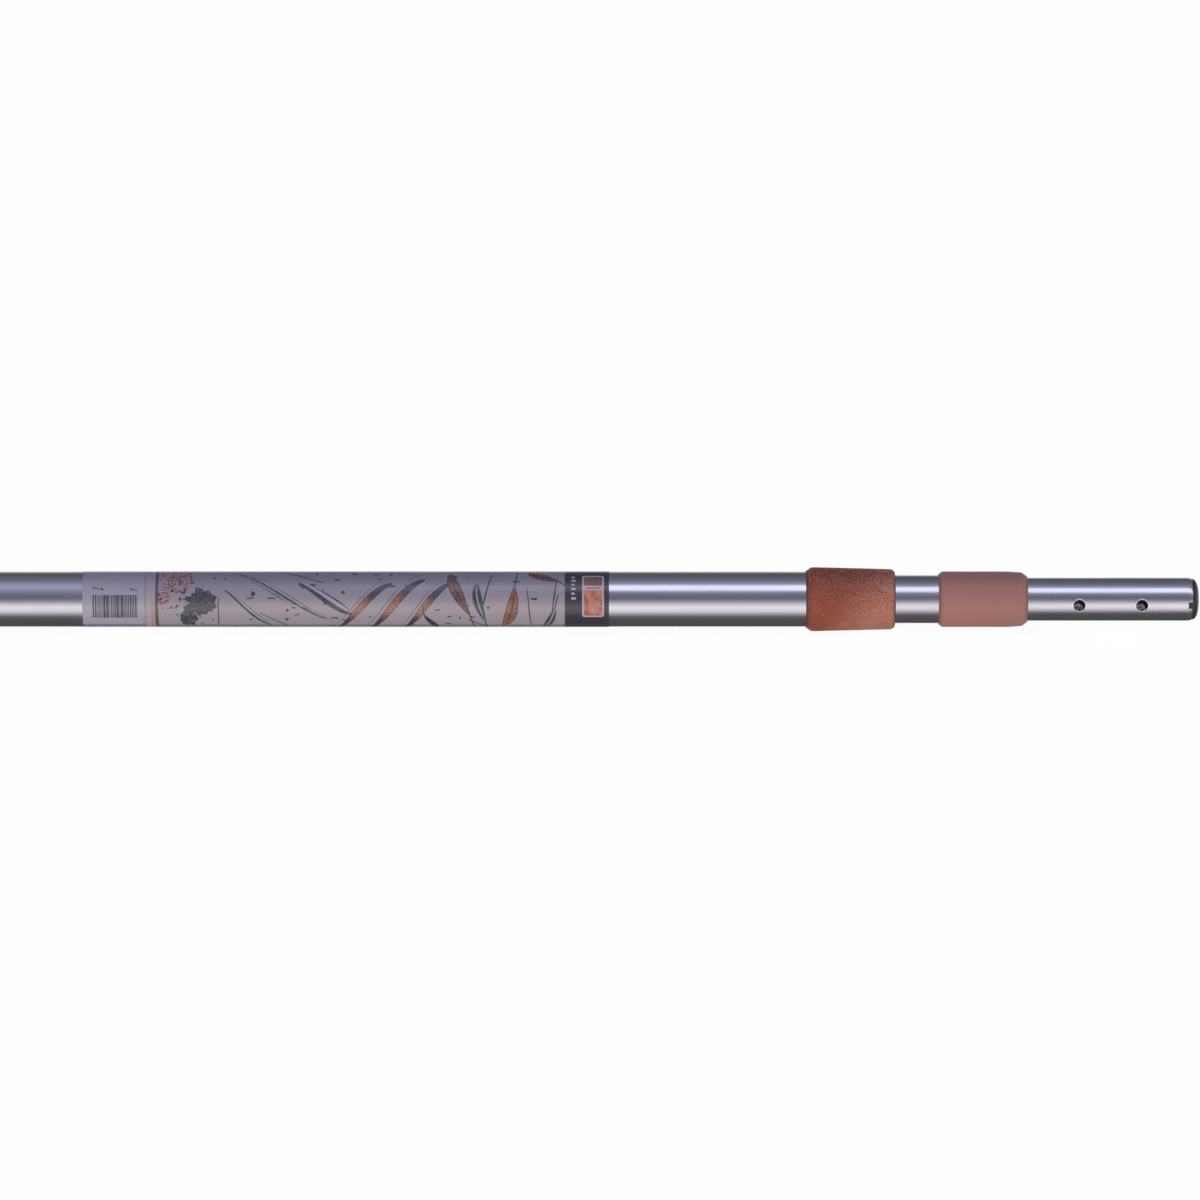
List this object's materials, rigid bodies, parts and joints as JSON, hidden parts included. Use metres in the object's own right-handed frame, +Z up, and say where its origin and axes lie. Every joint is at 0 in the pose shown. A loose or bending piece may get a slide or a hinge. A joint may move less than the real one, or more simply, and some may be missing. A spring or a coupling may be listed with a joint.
{
  "type": "telescopic pool pole",
  "caption": "Telescopic aluminium pole with twist locks, soft collars, a printed sleeve, a ribbed hand grip and a capped tip with button holes for pool nets and brushes.",
  "frame": {"origin": "centre of the butt cap's flat end face, on the axis of the pole", "axes": "+X along the pole from the butt cap to the tip, +Z up as it lies; the button holes run along Y"},
  "size_m": [1.4067, 0.0416, 0.0416],
  "materials": {
    "anodised_tube": "satin anodised",
    "rust_collar": "grained soft vinyl",
    "salmon_collar": "smooth soft vinyl",
    "grip_rubber": "matt",
    "cap_plastic": "moulded",
    "printed_film": "printed film",
    "code_film": "printed film",
    "bush_nylon": "moulded",
    "plug_nylon": "moulded",
    "cam_rubber": "moulded",
    "zinc_steel": "zinc plated"
  },
  "bodies": {
    "outer": {"outer_tube": "anodised_tube", "hand_grip": "grip_rubber", "butt_cap": "cap_plastic", "code_label": "code_film", "printed_sleeve": "printed_film", "outer_guide_bush": "bush_nylon", "outer_collar": "rust_collar"},
    "middle_washer": {"middle_cam_washer": "plug_nylon"},
    "middle": {"middle_tube": "anodised_tube", "middle_cam_plug": "plug_nylon", "middle_plug_pin": "zinc_steel", "middle_cam_screw": "zinc_steel", "middle_guide_bush": "bush_nylon", "middle_collar": "salmon_collar"},
    "middle_ring": {"middle_cam_ring": "cam_rubber"},
    "tip_washer": {"tip_cam_washer": "plug_nylon"},
    "tip": {"tip_tube": "anodised_tube", "tip_cam_plug": "plug_nylon", "tip_plug_pin": "zinc_steel", "tip_cam_screw": "zinc_steel", "tip_end_cap": "cap_plastic"},
    "tip_ring": {"tip_cam_ring": "cam_rubber"}
  },
  "joints": [
    {"name": "middle_slide", "type": "slide", "parent": "outer", "child": "middle_washer", "axis": [1, 0, 0], "range_m": [0, 1.0895]},
    {"name": "middle_twist", "type": "hinge", "parent": "middle_washer", "child": "middle", "pos_m": [0.0308, 0, 0], "axis": [1, 0, 0], "range_deg": [-40, 40]},
    {"name": "middle_ring_turn", "type": "hinge", "parent": "middle", "child": "middle_ring", "pos_m": [0.041, 0, 0.0012], "axis": [1, 0, 0], "range_deg": [-40, 40]},
    {"name": "tip_slide", "type": "slide", "parent": "middle", "child": "tip_washer", "axis": [1, 0, 0], "range_m": [0, 1.1073]},
    {"name": "tip_twist", "type": "hinge", "parent": "tip_washer", "child": "tip", "pos_m": [0.0988, 0, 0], "axis": [1, 0, 0], "range_deg": [-40, 40]},
    {"name": "tip_ring_turn", "type": "hinge", "parent": "tip", "child": "tip_ring", "pos_m": [0.109, 0, 0.0012], "axis": [1, 0, 0], "range_deg": [-40, 40]}
  ],
  "couplings": [
    {"joint": "middle_ring_turn", "follows": "middle_twist", "ratio": -1},
    {"joint": "tip_ring_turn", "follows": "tip_twist", "ratio": -1}
  ]
}
